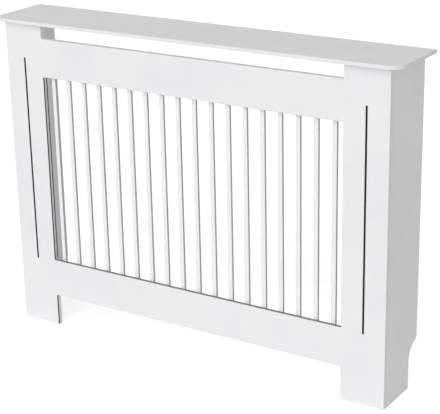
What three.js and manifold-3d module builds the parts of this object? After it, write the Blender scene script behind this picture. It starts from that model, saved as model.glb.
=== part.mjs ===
// A painted radiator cover cabinet: a front frame with a grille of upright slats, two side panels
// cut away for the skirting board, and a thin shelf on top. It is open behind and below.
// Millimetres, +Z up, the front faces -Y and the wall is on the +Y side. The origin is on the floor,
// under the middle of the shelf. Left and right are as seen from the front.

import * as THREE from "three";
import { mergeVertices } from "three/addons/utils/BufferGeometryUtils.js";
import Module from "manifold-3d";

const wasm = await Module();
wasm.setup();

// ---------------------------------------------------------------- driving dimensions

// Overall size
const OVERALL_HEIGHT = 815;
const SHELF_LENGTH = 1120;
const SHELF_DEPTH = 190;

// Shelf
const SHELF_THICKNESS = 9;
const SHELF_CORNER_RADIUS = 36;
const SHELF_ARRIS = 1.2;
const SHELF_SIDE_OVERHANG = 28;
const SHELF_FRONT_OVERHANG = 18;

// Front frame
const FRAME_THICKNESS = 15;
const STILE_WIDTH = 112;
const TOP_RAIL_HEIGHT = 97;
const BOTTOM_RAIL_HEIGHT = 99;
const PLINTH_GAP = 85;
const HEAT_SLOT = 36;

// Groove routed down the middle of each stile
const GROOVE_WIDTH = 5;
const GROOVE_DEPTH = 5;
const GROOVE_FOOT = 179;
const GROOVE_HEAD_MARGIN = 88;

// Grille
const SLAT_COUNT = 18;
const SLAT_WIDTH = 12;
const SLAT_THICKNESS = 6;
const SLAT_ARRIS = 1;
const SLAT_END_GAP = 19;
const SLAT_LAP = 25;
const SLAT_LAP_CLEARANCE = 0.5;

// Side panels, with the ogee that clears the skirting board
const SIDE_THICKNESS = 15;
const SKIRTING_DEPTH = 42;
const SKIRTING_HEIGHT = 125;
const OGEE_COVE_RADIUS = 40;
const OGEE_ROUND_RADIUS = 14;

// Dowels that join the rails to the stiles
const DOWEL_DIAMETER = 8;
const DOWEL_LENGTH = 35;
const DOWEL_CHAMFER = 1;
const DOWEL_EDGE_MARGIN = 20;
const DOWEL_SPACING = 35;
const DOWEL_CLEARANCE = 0.3;
const DOWEL_END_CLEARANCE = 1;

// Steel brackets
const BRACKET_STEEL = 2;
const BRACKET_LEG = 30;
const BRACKET_WIDTH = 16;
const BRACKET_BEND_RADIUS = 2.5;
const BRACKET_HOLE_OFFSET = 20;
const BRACKET_HOLE_DIAMETER = 4.4;
const CORNER_PLATE = 32;
const CORNER_PLATE_RADIUS = 16;
const CORNER_HOLE_OFFSET = 17;

// Where the brackets sit
const FRONT_BRACKET_HEIGHT = 130;
const SHELF_BRACKET_FROM_WALL = 95;
const WALL_BRACKET_BELOW_SHELF = 116;

// Pan-head screws
const SCREW_DIAMETER = 3.5;
const SCREW_LENGTH = 9.5;
const SCREW_POINT = 3;
const SCREW_HEAD_DIAMETER = 7;
const SCREW_HEAD_HEIGHT = 2.4;
const PILOT_CLEARANCE = 0.3;
const PILOT_END_CLEARANCE = 0.5;

// Fineness of round forms
const ARC_STEPS = 6;
const ROUND_STEPS = 12;
const DOME_STEPS = 4;
const CUT_OVERRUN = 1;

// ---------------------------------------------------------------- places that follow from them

const wallY = SHELF_DEPTH / 2;
const frontY = -SHELF_DEPTH / 2 + SHELF_FRONT_OVERHANG;
const frameBackY = frontY + FRAME_THICKNESS;
const outerX = SHELF_LENGTH / 2 - SHELF_SIDE_OVERHANG;
const innerX = outerX - SIDE_THICKNESS;
const openingX = outerX - STILE_WIDTH;
const underShelfZ = OVERALL_HEIGHT - SHELF_THICKNESS;
const sillZ = PLINTH_GAP + BOTTOM_RAIL_HEIGHT;
const topRailTopZ = underShelfZ - HEAT_SLOT;
const headZ = topRailTopZ - TOP_RAIL_HEIGHT;
const slatFrontY = frameBackY - SLAT_THICKNESS;

const SIDES = [
  { side: "left", sign: -1 },
  { side: "right", sign: 1 },
];

const X = new THREE.Vector3(1, 0, 0);
const Y = new THREE.Vector3(0, 1, 0);
const Z = new THREE.Vector3(0, 0, 1);

// ---------------------------------------------------------------- materials

const paintedBoard = new THREE.MeshStandardMaterial({
  color: 0xeeeeef,
  roughness: 0.5,
  metalness: 0,
});
const zincPlate = new THREE.MeshStandardMaterial({
  color: 0xb8bcc0,
  roughness: 0.35,
  metalness: 1,
});
const beech = new THREE.MeshStandardMaterial({
  color: 0xcba679,
  roughness: 0.7,
  metalness: 0,
});

// ---------------------------------------------------------------- solids

// A closed geometry as a manifold-3d solid.
function solidOf(geometry) {
  const bare = geometry.clone();
  bare.deleteAttribute("normal");
  bare.deleteAttribute("uv");
  const merged = mergeVertices(bare, 1e-4);
  return new wasm.Manifold(
    new wasm.Mesh({
      numProp: 3,
      vertProperties: new Float32Array(merged.attributes.position.array),
      triVerts: new Uint32Array(merged.index.array),
    }),
  );
}

// A manifold-3d solid as a flat-shaded geometry.
function geometryOf(solid) {
  const { vertProperties, triVerts } = solid.getMesh();
  const indexed = new THREE.BufferGeometry();
  indexed.setAttribute("position", new THREE.BufferAttribute(vertProperties, 3));
  indexed.setIndex(new THREE.BufferAttribute(triVerts, 1));
  const flat = indexed.toNonIndexed();
  flat.computeVertexNormals();
  return flat;
}

// A geometry with every cutter taken out of it.
function cut(geometry, cutters) {
  const start = solidOf(geometry);
  return geometryOf(cutters.reduce((left, tool) => left.subtract(solidOf(tool)), start));
}

// An outline drawn in two world directions, extruded along a third from the given point.
function extrudeAlong(shape, depth, across, up, origin, options = {}) {
  const geometry = new THREE.ExtrudeGeometry(shape, {
    depth,
    bevelEnabled: false,
    curveSegments: ARC_STEPS,
    ...options,
  });
  const along = new THREE.Vector3().crossVectors(across, up);
  const turn = new THREE.Matrix4().makeBasis(across, up, along).setPosition(origin);
  return geometry.applyMatrix4(turn);
}

// A closed outline through plain corners.
function polygon(corners) {
  return new THREE.Shape(corners.map(([u, v]) => new THREE.Vector2(u, v)));
}

// The matrix that turns +Z to a world axis and moves the origin to a point.
function aim(direction, point) {
  const across = Math.abs(direction.z) > 0.5 ? X.clone() : Z.clone();
  const up = new THREE.Vector3().crossVectors(direction, across);
  return new THREE.Matrix4().makeBasis(across, up, direction).setPosition(point);
}

// A round drill cut from a point on a face into the board, with a little overrun in front of it.
function drill(point, direction, diameter, depth) {
  const radius = diameter / 2;
  const length = depth + CUT_OVERRUN;
  const tool = new THREE.CylinderGeometry(radius, radius, length, ROUND_STEPS);
  tool.rotateX(Math.PI / 2);
  tool.translate(0, 0, length / 2 - CUT_OVERRUN);
  return tool.applyMatrix4(aim(direction, point));
}

function namedMesh(name, geometry, material, position) {
  const mesh = new THREE.Mesh(geometry, material);
  mesh.name = name;
  if (position) mesh.position.copy(position);
  return mesh;
}

// ---------------------------------------------------------------- where dowels and screws go

// Each rail end has two dowels, counted from the rail's plain edge, clear of its rebate.
function dowelPlaces() {
  const rails = [
    { rail: "top", plainEdge: topRailTopZ, inward: -1 },
    { rail: "bottom", plainEdge: PLINTH_GAP, inward: 1 },
  ];
  const rows = [
    { row: "outer", offset: DOWEL_EDGE_MARGIN },
    { row: "inner", offset: DOWEL_EDGE_MARGIN + DOWEL_SPACING },
  ];
  const middleY = (frontY + frameBackY) / 2;
  return SIDES.flatMap(({ side, sign }) =>
    rails.flatMap(({ rail, plainEdge, inward }) =>
      rows.map(({ row, offset }) => ({
        name: `dowel_${rail}_rail_${side}_${row}`,
        rail,
        side,
        sign,
        point: new THREE.Vector3(sign * openingX, middleY, plainEdge + inward * offset),
      })),
    ),
  );
}

// Each bracket has its corner where the boards meet, and its legs lie along them. A fixing is a hole
// in a leg: where it sits on the board's face, the way the screw goes, and the board it goes into.
function bracketPlaces() {
  return SIDES.flatMap(({ side, sign }) => {
    const inward = X.clone().multiplyScalar(-sign);
    const outward = X.clone().multiplyScalar(sign);
    const forward = Y.clone().negate();
    const down = Z.clone().negate();
    const frontCorner = (z) => new THREE.Vector3(sign * innerX, frameBackY, z);
    const shelfCorner = new THREE.Vector3(
      sign * innerX,
      wallY - SHELF_BRACKET_FROM_WALL,
      underShelfZ,
    );
    const wallCorner = new THREE.Vector3(
      sign * innerX,
      wallY,
      underShelfZ - WALL_BRACKET_BELOW_SHELF,
    );
    const sidePanel = `${side}_side_panel`;
    const stile = `${side}_stile`;
    return [
      {
        name: `front_bracket_${side}`,
        corner: frontCorner(FRONT_BRACKET_HEIGHT),
        legs: [inward, Y],
        fixings: [
          { board: stile, along: inward, into: forward },
          { board: sidePanel, along: Y, into: outward },
        ],
      },
      {
        name: `shelf_bracket_${side}`,
        corner: shelfCorner,
        legs: [inward, down],
        fixings: [
          { board: "top_shelf", along: inward, into: Z },
          { board: sidePanel, along: down, into: outward },
        ],
      },
      {
        name: `wall_bracket_${side}`,
        corner: wallCorner,
        legs: [inward, forward],
        fixings: [{ board: sidePanel, along: forward, into: outward }],
      },
    ].map((bracket) => ({
      ...bracket,
      fixings: bracket.fixings.map((fixing) => ({
        ...fixing,
        name: `${bracket.name}_screw_${fixing.board.replace(`${side}_`, "")}`,
        point: bracket.corner.clone().addScaledVector(fixing.along, BRACKET_HOLE_OFFSET),
      })),
    }));
  });
}

// The three-way corner plates hold stile, side panel and shelf where all three meet.
function cornerPlaces() {
  return SIDES.map(({ side, sign }) => {
    const inward = X.clone().multiplyScalar(-sign);
    const down = Z.clone().negate();
    const corner = new THREE.Vector3(sign * innerX, frameBackY, underShelfZ);
    const name = `corner_plate_${side}`;
    const faces = [
      { board: `${side}_stile`, edges: [inward, down], into: Y.clone().negate() },
      { board: `${side}_side_panel`, edges: [Y, down], into: inward.clone().negate() },
      { board: "top_shelf", edges: [inward, Y], into: Z },
    ];
    const fixings = faces.map(({ board, edges, into }) => ({
      board,
      edges,
      into,
      name: `${name}_screw_${board.replace(`${side}_`, "")}`,
      point: corner
        .clone()
        .addScaledVector(edges[0], CORNER_HOLE_OFFSET)
        .addScaledVector(edges[1], CORNER_HOLE_OFFSET),
    }));
    return { name, corner, fixings };
  });
}

const dowels = dowelPlaces();
const brackets = bracketPlaces();
const corners = cornerPlaces();
const fixings = [...brackets, ...corners].flatMap((bracket) => bracket.fixings);

// The pilot holes that one board has for its screws.
function pilotHoles(board) {
  const depth = SCREW_LENGTH - BRACKET_STEEL + PILOT_END_CLEARANCE;
  return fixings
    .filter((fixing) => fixing.board === board)
    .map(({ point, into }) => drill(point, into, SCREW_DIAMETER + 2 * PILOT_CLEARANCE, depth));
}

// The blind holes for dowels, drilled along X from the joint into a stile or a rail.
function dowelHoles(places, intoStile) {
  const depth = DOWEL_LENGTH / 2 + DOWEL_END_CLEARANCE;
  return places.map(({ point, sign }) => {
    const direction = X.clone().multiplyScalar(intoStile ? sign : -sign);
    return drill(point, direction, DOWEL_DIAMETER + 2 * DOWEL_CLEARANCE, depth);
  });
}

// ---------------------------------------------------------------- boards

// The shelf: a thin board with round front corners and an eased edge all round.
function topShelf() {
  const half = SHELF_LENGTH / 2;
  const radius = SHELF_CORNER_RADIUS;
  const front = -SHELF_DEPTH / 2;
  const outline = new THREE.Shape();
  outline.moveTo(half, wallY);
  outline.lineTo(-half, wallY);
  outline.lineTo(-half, front + radius);
  outline.absarc(-half + radius, front + radius, radius, Math.PI, 1.5 * Math.PI, false);
  outline.lineTo(half - radius, front);
  outline.absarc(half - radius, front + radius, radius, -Math.PI / 2, 0, false);
  outline.closePath();
  const core = SHELF_THICKNESS - 2 * SHELF_ARRIS;
  const board = extrudeAlong(outline, core, X, Y, new THREE.Vector3(0, 0, SHELF_ARRIS), {
    bevelEnabled: true,
    bevelThickness: SHELF_ARRIS,
    bevelSize: SHELF_ARRIS,
    bevelOffset: -SHELF_ARRIS,
    bevelSegments: 3,
  });
  board.translate(0, 0, underShelfZ);
  return cut(board, pilotHoles("top_shelf"));
}

// A side panel: upright behind the stile, with the ogee cut out of its lower back corner. The cove
// and the round of the ogee are two arcs that meet where their tangents agree.
function sidePanel(side, sign) {
  const cutY = wallY - SKIRTING_DEPTH;
  const coveY = cutY + OGEE_COVE_RADIUS;
  const roundY = wallY - OGEE_ROUND_RADIUS;
  const acrossCentres = roundY - coveY;
  const reach = OGEE_COVE_RADIUS + OGEE_ROUND_RADIUS;
  const rise = Math.sqrt(reach ** 2 - acrossCentres ** 2);
  const coveZ = SKIRTING_HEIGHT - rise;
  const tangent = Math.atan2(rise, acrossCentres);

  const outline = new THREE.Shape();
  outline.moveTo(frameBackY, 0);
  outline.lineTo(cutY, 0);
  outline.lineTo(cutY, coveZ);
  outline.absarc(coveY, coveZ, OGEE_COVE_RADIUS, Math.PI, tangent, true);
  outline.absarc(
    roundY,
    SKIRTING_HEIGHT,
    OGEE_ROUND_RADIUS,
    tangent - Math.PI,
    0,
    false,
  );
  outline.lineTo(wallY, underShelfZ);
  outline.lineTo(frameBackY, underShelfZ);
  outline.closePath();

  const nearFace = sign > 0 ? innerX : -outerX;
  const board = extrudeAlong(outline, SIDE_THICKNESS, Y, Z, new THREE.Vector3(nearFace, 0, 0));
  return cut(board, pilotHoles(`${side}_side_panel`));
}

// A stile: a full-height board with a round-ended groove routed down the middle of its face.
function stile(side, sign) {
  const outline = polygon([
    [sign * openingX, 0],
    [sign * outerX, 0],
    [sign * outerX, underShelfZ],
    [sign * openingX, underShelfZ],
  ]);
  // X across and Z up extrude towards -Y, so the board starts at its back face.
  const board = extrudeAlong(outline, FRAME_THICKNESS, X, Z, new THREE.Vector3(0, frameBackY, 0));

  const middleX = sign * (openingX + STILE_WIDTH / 2);
  const radius = GROOVE_WIDTH / 2;
  const foot = GROOVE_FOOT + radius;
  const head = underShelfZ - GROOVE_HEAD_MARGIN - radius;
  const slot = new THREE.Shape();
  slot.absarc(middleX, head, radius, 0, Math.PI, false);
  slot.absarc(middleX, foot, radius, Math.PI, 2 * Math.PI, false);
  slot.closePath();
  const floor = new THREE.Vector3(0, frontY + GROOVE_DEPTH, 0);
  const groove = extrudeAlong(slot, GROOVE_DEPTH + CUT_OVERRUN, X, Z, floor);

  const joints = dowels.filter((dowel) => dowel.side === side);
  return cut(board, [groove, ...dowelHoles(joints, true), ...pilotHoles(`${side}_stile`)]);
}

// A rail: its back is rebated along the grille edge, and the slats lap into the rebate. The edge
// away from the grille is plain.
function rail(which, plainEdge, grilleEdge) {
  const towardsPlain = Math.sign(plainEdge - grilleEdge);
  const shoulder = grilleEdge + towardsPlain * SLAT_LAP;
  const outline = polygon([
    [frontY, plainEdge],
    [frameBackY, plainEdge],
    [frameBackY, shoulder],
    [slatFrontY, shoulder],
    [slatFrontY, grilleEdge],
    [frontY, grilleEdge],
  ]);
  const start = new THREE.Vector3(-openingX, 0, 0);
  const board = extrudeAlong(outline, 2 * openingX, Y, Z, start);
  const joints = dowels.filter((dowel) => dowel.rail === which);
  return cut(board, dowelHoles(joints, false));
}

// ---------------------------------------------------------------- grille

// One slat: a thin stick with its two front arrises rounded, which laps behind both rails.
function slat() {
  const half = SLAT_WIDTH / 2;
  const radius = SLAT_ARRIS;
  const outline = new THREE.Shape();
  outline.moveTo(half, SLAT_THICKNESS);
  outline.lineTo(-half, SLAT_THICKNESS);
  outline.lineTo(-half, radius);
  outline.absarc(-half + radius, radius, radius, Math.PI, 1.5 * Math.PI, false);
  outline.lineTo(half - radius, 0);
  outline.absarc(half - radius, radius, radius, -Math.PI / 2, 0, false);
  outline.closePath();
  const lap = SLAT_LAP - SLAT_LAP_CLEARANCE;
  const length = headZ - sillZ + 2 * lap;
  const options = { curveSegments: 2 };
  return extrudeAlong(outline, length, X, Y, new THREE.Vector3(0, 0, -lap), options);
}

// The slats stand at an even pitch between the two end gaps.
function grille() {
  const group = new THREE.Group();
  const geometry = slat();
  const firstX = -openingX + SLAT_END_GAP + SLAT_WIDTH / 2;
  const pitch = (-2 * firstX) / (SLAT_COUNT - 1);
  for (let i = 0; i < SLAT_COUNT; i += 1) {
    const name = `slat_${String(i + 1).padStart(2, "0")}`;
    const place = new THREE.Vector3(firstX + i * pitch, slatFrontY, sillZ);
    group.add(namedMesh(name, geometry, paintedBoard, place));
  }
  return group;
}

// ---------------------------------------------------------------- fittings

// A dowel: a beech pin with chamfered ends, lying along X across the joint.
function dowelPin() {
  const radius = DOWEL_DIAMETER / 2;
  const half = DOWEL_LENGTH / 2;
  const profile = [
    [0, -half],
    [radius - DOWEL_CHAMFER, -half],
    [radius, -half + DOWEL_CHAMFER],
    [radius, half - DOWEL_CHAMFER],
    [radius - DOWEL_CHAMFER, half],
    [0, half],
  ].map(([r, h]) => new THREE.Vector2(r, h));
  const pin = new THREE.LatheGeometry(profile, ROUND_STEPS);
  return pin.rotateZ(-Math.PI / 2);
}

// The face of one bracket leg seen square on: a tongue with a round end and a screw hole. The
// corner of the bracket is at u = 0.
function tongue() {
  const half = BRACKET_WIDTH / 2;
  const outline = new THREE.Shape();
  outline.moveTo(-CUT_OVERRUN, -half);
  outline.lineTo(BRACKET_LEG - half, -half);
  outline.absarc(BRACKET_LEG - half, 0, half, -Math.PI / 2, Math.PI / 2, false);
  outline.lineTo(-CUT_OVERRUN, half);
  outline.closePath();
  const hole = new THREE.Path();
  hole.absarc(BRACKET_HOLE_OFFSET, 0, BRACKET_HOLE_DIAMETER / 2, 0, 2 * Math.PI, true);
  outline.holes.push(hole);
  return outline;
}

// An angle bracket bent from strip. Its side view, an L with a round bend, is extruded to the width
// and then trimmed by the tongue outline of each leg. The legs run along +X and +Y from the corner.
function angleBracket() {
  const steel = BRACKET_STEEL;
  const outer = BRACKET_BEND_RADIUS;
  const inner = outer - steel;
  const bend = new THREE.Shape();
  bend.moveTo(BRACKET_LEG, 0);
  bend.lineTo(BRACKET_LEG, steel);
  bend.lineTo(outer, steel);
  bend.absarc(outer, outer, inner, 1.5 * Math.PI, Math.PI, true);
  bend.lineTo(steel, BRACKET_LEG);
  bend.lineTo(0, BRACKET_LEG);
  bend.lineTo(0, outer);
  bend.absarc(outer, outer, outer, Math.PI, 1.5 * Math.PI, false);
  bend.closePath();
  const strip = extrudeAlong(
    bend,
    BRACKET_WIDTH,
    X,
    Y,
    new THREE.Vector3(0, 0, -BRACKET_WIDTH / 2),
  );
  const reach = BRACKET_LEG + 2 * CUT_OVERRUN;
  const legX = extrudeAlong(tongue(), reach, X, Z, new THREE.Vector3(0, reach - CUT_OVERRUN, 0));
  const legY = extrudeAlong(tongue(), reach, Y, Z, new THREE.Vector3(-CUT_OVERRUN, 0, 0));
  return geometryOf(solidOf(strip).intersect(solidOf(legX)).intersect(solidOf(legY)));
}

// The bracket turned so that its legs lie along two world axes, with its width along the third.
function placedBracket(geometry, { name, corner, legs }) {
  const width = new THREE.Vector3().crossVectors(legs[0], legs[1]);
  const turned = geometry.clone().applyMatrix4(new THREE.Matrix4().makeBasis(...legs, width));
  return namedMesh(name, turned, zincPlate, corner);
}

// A three-way corner plate: three square plates with one far corner rounded, joined along their
// edges. Each plate is extruded away from its board by the thickness of the steel.
function cornerPlate({ name, corner, fixings: faces }) {
  const size = CORNER_PLATE;
  const radius = CORNER_PLATE_RADIUS;
  const outline = new THREE.Shape();
  outline.moveTo(0, 0);
  outline.lineTo(size, 0);
  outline.lineTo(size, size - radius);
  outline.absarc(size - radius, size - radius, radius, 0, Math.PI / 2, false);
  outline.lineTo(0, size);
  outline.closePath();
  const hole = new THREE.Path();
  const holeRadius = BRACKET_HOLE_DIAMETER / 2;
  hole.absarc(CORNER_HOLE_OFFSET, CORNER_HOLE_OFFSET, holeRadius, 0, 2 * Math.PI, true);
  outline.holes.push(hole);
  const plates = faces.map(({ edges, into }) => {
    const [first, second] = edges;
    const away = into.clone().negate();
    const along = new THREE.Vector3().crossVectors(first, second);
    const [across, up] = along.dot(away) > 0 ? [first, second] : [second, first];
    return solidOf(extrudeAlong(outline, BRACKET_STEEL, across, up, new THREE.Vector3()));
  });
  const joined = plates.reduce((whole, plate) => whole.add(plate));
  return namedMesh(name, geometryOf(joined), zincPlate, corner);
}

// A pan-head screw: the flat of its head is at the origin and its shank runs along +Z to the point.
// The head is a quarter of an ellipse turned round the axis.
function screw() {
  const dome = Array.from({ length: DOME_STEPS + 1 }, (_, i) => {
    const angle = (Math.PI / 2) * (1 - i / DOME_STEPS);
    return [(SCREW_HEAD_DIAMETER / 2) * Math.cos(angle), -SCREW_HEAD_HEIGHT * Math.sin(angle)];
  });
  dome[0][0] = 0;
  const shank = SCREW_DIAMETER / 2;
  const profile = [
    ...dome,
    [shank, 0],
    [shank, SCREW_LENGTH - SCREW_POINT],
    [0, SCREW_LENGTH],
  ].map(([r, h]) => new THREE.Vector2(r, h));
  return new THREE.LatheGeometry(profile, ROUND_STEPS).rotateX(Math.PI / 2);
}

// Every bracket, corner plate and screw.
function fittings() {
  const group = new THREE.Group();
  const bracket = angleBracket();
  brackets.forEach((place) => group.add(placedBracket(bracket, place)));
  corners.forEach((place) => group.add(cornerPlate(place)));
  const pan = screw();
  fixings.forEach(({ name, point, into }) => {
    const seat = point.clone().addScaledVector(into, -BRACKET_STEEL);
    const turned = pan.clone().applyMatrix4(aim(into, new THREE.Vector3()));
    group.add(namedMesh(name, turned, zincPlate, seat));
  });
  return group;
}

// ---------------------------------------------------------------- assembly

const cabinet = new THREE.Group();
cabinet.name = "radiator_cover";
cabinet.add(namedMesh("top_shelf", topShelf(), paintedBoard));
SIDES.forEach(({ side, sign }) => {
  cabinet.add(namedMesh(`${side}_side_panel`, sidePanel(side, sign), paintedBoard));
  cabinet.add(namedMesh(`${side}_stile`, stile(side, sign), paintedBoard));
});
cabinet.add(namedMesh("top_rail", rail("top", topRailTopZ, headZ), paintedBoard));
cabinet.add(namedMesh("bottom_rail", rail("bottom", PLINTH_GAP, sillZ), paintedBoard));
cabinet.add(grille());
const pin = dowelPin();
dowels.forEach(({ name, point }) => cabinet.add(namedMesh(name, pin, beech, point)));
cabinet.add(fittings());

export default cabinet;
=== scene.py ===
"""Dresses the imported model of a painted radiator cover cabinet.

Each board and fitting is worked out afresh on the frame's own boxes, with the arrises, grooves,
thread and paint that the plain solids leave out. Lengths are in metres, in the frame's axes: +Z is
up, the front faces -Y and the wall is on the +Y side.
"""

import math

import bpy
import numpy as np
from bpy.props import FloatProperty, FloatVectorProperty, PointerProperty
from mathutils import Matrix, Vector


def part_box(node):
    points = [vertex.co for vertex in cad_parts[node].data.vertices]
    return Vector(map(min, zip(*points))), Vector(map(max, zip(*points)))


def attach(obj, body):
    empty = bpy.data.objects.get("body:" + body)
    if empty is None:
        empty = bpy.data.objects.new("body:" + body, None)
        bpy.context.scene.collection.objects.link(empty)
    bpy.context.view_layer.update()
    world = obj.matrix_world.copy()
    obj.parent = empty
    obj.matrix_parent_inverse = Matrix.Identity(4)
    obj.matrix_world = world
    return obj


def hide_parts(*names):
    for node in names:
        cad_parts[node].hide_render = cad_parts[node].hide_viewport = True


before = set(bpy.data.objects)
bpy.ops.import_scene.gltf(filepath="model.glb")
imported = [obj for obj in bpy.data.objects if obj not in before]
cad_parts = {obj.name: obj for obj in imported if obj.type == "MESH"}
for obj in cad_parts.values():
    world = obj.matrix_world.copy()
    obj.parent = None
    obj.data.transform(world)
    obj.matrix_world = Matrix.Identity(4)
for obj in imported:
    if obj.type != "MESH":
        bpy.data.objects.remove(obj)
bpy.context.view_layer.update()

bl_info = {
    "name": "Radiator cover cabinet",
    "version": (1, 0, 0),
    "blender": (4, 5, 0),
    "location": "View3D > Sidebar > Radiator cover",
    "description": "Makes the boards, grille and fittings of a painted radiator cover",
    "category": "Object",
}

MM = 0.001
BODY = "root"
SIDES = {"left": -1, "right": 1}
NODES = sorted(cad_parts)

# The three directions that an outline is drawn and thickened in: across, up and through.
LYING = np.array([[1, 0, 0], [0, 1, 0], [0, 0, 1]])
FACING = np.array([[1, 0, 0], [0, 0, 1], [0, -1, 0]])
SIDEWAYS = np.array([[0, 1, 0], [0, 0, 1], [1, 0, 0]])

# Sockets of the Mix node when it mixes colours, where names are not unique.
MIX_FACTOR, MIX_A, MIX_B, MIX_RESULT = 0, 6, 7, 2


# ---------------------------------------------------------------- sizes and colours


def linear(colour):
    """The linear RGBA of an sRGB colour written as 0xRRGGBB."""
    channels = np.array([(colour >> shift) & 255 for shift in (16, 8, 0)]) / 255
    curved = ((channels + 0.055) / 1.055) ** 2.4
    return (*np.where(channels > 0.04045, curved, channels / 12.92).tolist(), 1.0)


def length(name, millimetres, description):
    """A length property, with its default given in millimetres."""
    return FloatProperty(
        name=name,
        description=description,
        default=millimetres * MM,
        unit="LENGTH",
        subtype="DISTANCE",
    )


def colour(name, value, description):
    """A colour property, with its default given as sRGB 0xRRGGBB."""
    return FloatVectorProperty(
        name=name,
        description=description,
        default=linear(value),
        size=4,
        min=0,
        max=1,
        subtype="COLOR",
    )


class BoardSizes(bpy.types.PropertyGroup):
    """Sizes of the boards that the frame's boxes don't give."""

    arris: length("Arris", 0.8, "Radius sanded on the boards' edges")
    shelf_arris: length("Shelf arris", 1.2, "Radius on the shelf's edges")
    shelf_corner: length("Shelf corner", 36, "Radius of the shelf's front corners")
    slat_arris: length("Slat arris", 1, "Radius on the slats' front edges")
    slat_back_arris: length("Slat back arris", 0.5, "Radius on the slats' back edges")
    groove_width: length("Groove width", 5, "Width of the groove in each stile")
    groove_depth: length("Groove depth", 5, "Depth of the groove in each stile")
    groove_foot: length("Groove foot", 179, "Height of the groove's lower end")
    groove_head: length("Groove head", 88, "Space above the groove, below the shelf")
    groove_lip: length("Groove lip", 0.4, "Radius sanded on the groove's mouth")
    groove_root: length("Groove root", 1, "Radius left in the groove by the cutter")
    # Painted shade runs this far onto a stile's inner edge from each arris.
    painted_shade_reach: length("Thin coat", 4, "How far the coat is thin past a stile's inner arris")
    lap_clearance: length("Lap clearance", 0.5, "Space beyond each end of a slat in its rebate")
    skirting_depth: length("Skirting depth", 42, "Depth cut from the side panels")
    skirting_height: length("Skirting height", 125, "Height of the cut-out's round")
    cove: length("Cove", 40, "Radius of the hollow of the ogee")
    round: length("Round", 14, "Radius of the round of the ogee")


class FittingSizes(bpy.types.PropertyGroup):
    """Sizes of the steel fittings and dowels that the frame's boxes don't give."""

    steel: length("Steel", 2, "Thickness of the brackets and corner plates")
    steel_arris: length("Steel arris", 0.3, "Radius that tumbling leaves on the steel's edges")
    bend: length("Bend", 2.5, "Outer radius of a bracket's bend")
    hole: length("Hole", 4.4, "Diameter of the screw holes")
    bracket_hole: length("Bracket hole", 20, "From a bracket's corner to each hole")
    plate_hole: length("Plate hole", 17, "From a corner plate's edges to each hole")
    plate_round: length("Plate round", 16, "Radius of a corner plate's far corners")
    head: length("Screw head", 2.4, "Height of a screw's head")
    shank: length("Screw thread", 3.5, "Diameter over a screw's thread")
    core: length("Screw core", 2.4, "Diameter under a screw's thread")
    pitch: length("Screw pitch", 1.4, "From one turn of a screw's thread to the next")
    point: length("Screw point", 3, "Length of a screw's point")
    recess: length("Recess", 3.8, "Length of each slot of a screw's cross recess")
    recess_width: length("Recess width", 0.9, "Width of each slot of the cross recess")
    recess_depth: length("Recess depth", 1.4, "Depth of the cross recess")
    chamfer: length("Dowel chamfer", 1, "Chamfer on a dowel's ends")
    flute: length("Dowel flute", 0.3, "Depth of the flutes that let glue past")


class FinishColours(bpy.types.PropertyGroup):
    """Colours of the paint, steel and wood."""

    paint: colour("Paint", 0xEFEFF0, "Sprayed satin white")
    paint_shade: colour("Paint shade", 0xECECEE, "The white where the coat is thinner")
    # Painted light: the slats' whites are a lighter copy of the boards' whites, so that the slats
    # read brighter than the frame.
    slat_paint_lit: colour("Slat paint", 0xF5F5F6, "The fuller coat on the slats")
    slat_shade_lit: colour("Slat paint shade", 0xF2F2F3, "The slats' white where it is thinner")
    edge: colour("Edge", 0xECECED, "The white on cut edges, which drink the paint")
    # Painted shade: the near-black laid in the grooves, along the edges inside the openings and on
    # the slats' sides.
    painted_shade_black: colour("Bare", 0x1E1E20, "What shows in the grooves, where the spray misses")
    zinc: colour("Zinc", 0xC6CACD, "Bright zinc plate")
    zinc_shade: colour("Zinc shade", 0xA9AEB2, "Duller patches of the plate")
    beech: colour("Beech", 0xCFA878, "Planed beech")
    beech_fleck: colour("Beech fleck", 0xA9794C, "The short brown flecks in beech")
    floor: colour("Floor", 0xF4F4F4, "Pale studio floor")


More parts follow.
